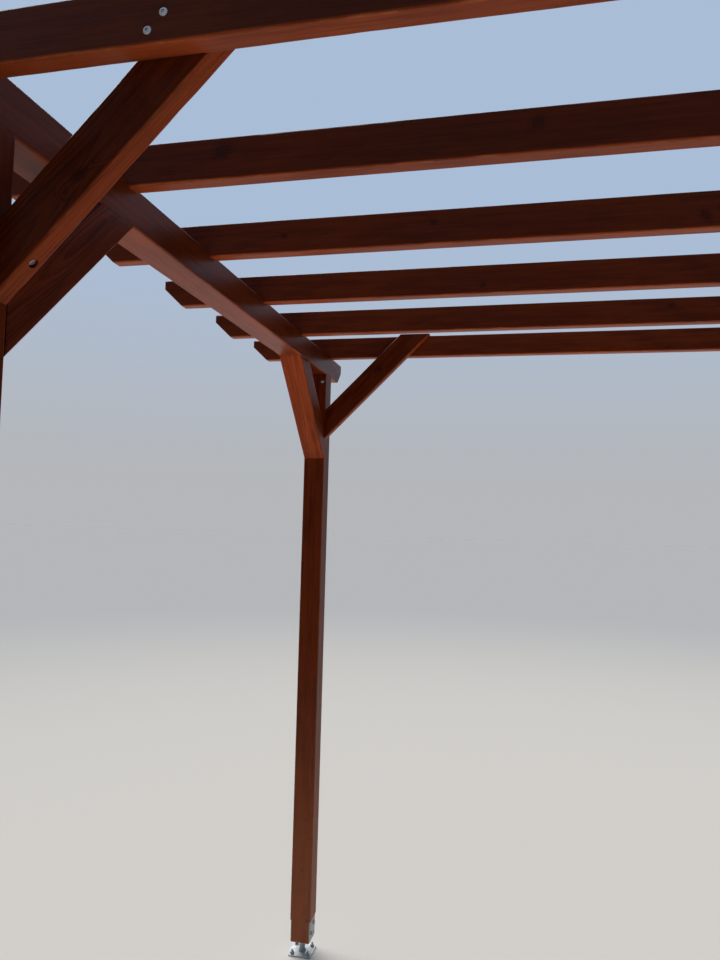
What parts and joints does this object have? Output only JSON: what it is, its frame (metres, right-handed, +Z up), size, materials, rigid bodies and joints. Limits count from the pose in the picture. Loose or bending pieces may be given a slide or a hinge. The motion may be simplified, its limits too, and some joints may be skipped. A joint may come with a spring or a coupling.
{
  "type": "wooden pergola",
  "caption": "Free-standing open garden pergola of stained square timber: posts in steel shoes, side beams, notched rafters with slanted ends and knee braces.",
  "frame": {"origin": "on the ground under the middle of the frame", "axes": "+X along the rafters, +Y along the beams from the front (camera side) to the back, +Z up"},
  "size_m": [3.6, 2.5, 2.678],
  "materials": {
    "post_timber": "satin mahogany stain on planed pine",
    "beam_timber": "satin mahogany stain on planed pine",
    "rafter_timber": "satin mahogany stain on planed pine",
    "brace_timber": "satin mahogany stain on planed pine",
    "shoe_steel": "hot-dip galvanised, dull grey"
  },
  "bodies": {
    "root": {"post_front_left": "post_timber", "post_front_right": "post_timber", "post_back_left": "post_timber", "post_back_right": "post_timber", "post_shoe_front_left": "shoe_steel", "post_shoe_front_right": "shoe_steel", "post_shoe_back_left": "shoe_steel", "post_shoe_back_right": "shoe_steel", "beam_left": "beam_timber", "beam_right": "beam_timber", "rafter_1": "rafter_timber", "rafter_2": "rafter_timber", "rafter_3": "rafter_timber", "rafter_4": "rafter_timber", "rafter_5": "rafter_timber", "rafter_6": "rafter_timber", "beam_brace_front_left": "brace_timber", "beam_brace_front_right": "brace_timber", "beam_brace_back_left": "brace_timber", "beam_brace_back_right": "brace_timber", "rafter_brace_front_left": "brace_timber", "rafter_brace_front_right": "brace_timber", "rafter_brace_back_left": "brace_timber", "rafter_brace_back_right": "brace_timber"}
  },
  "joints": []
}
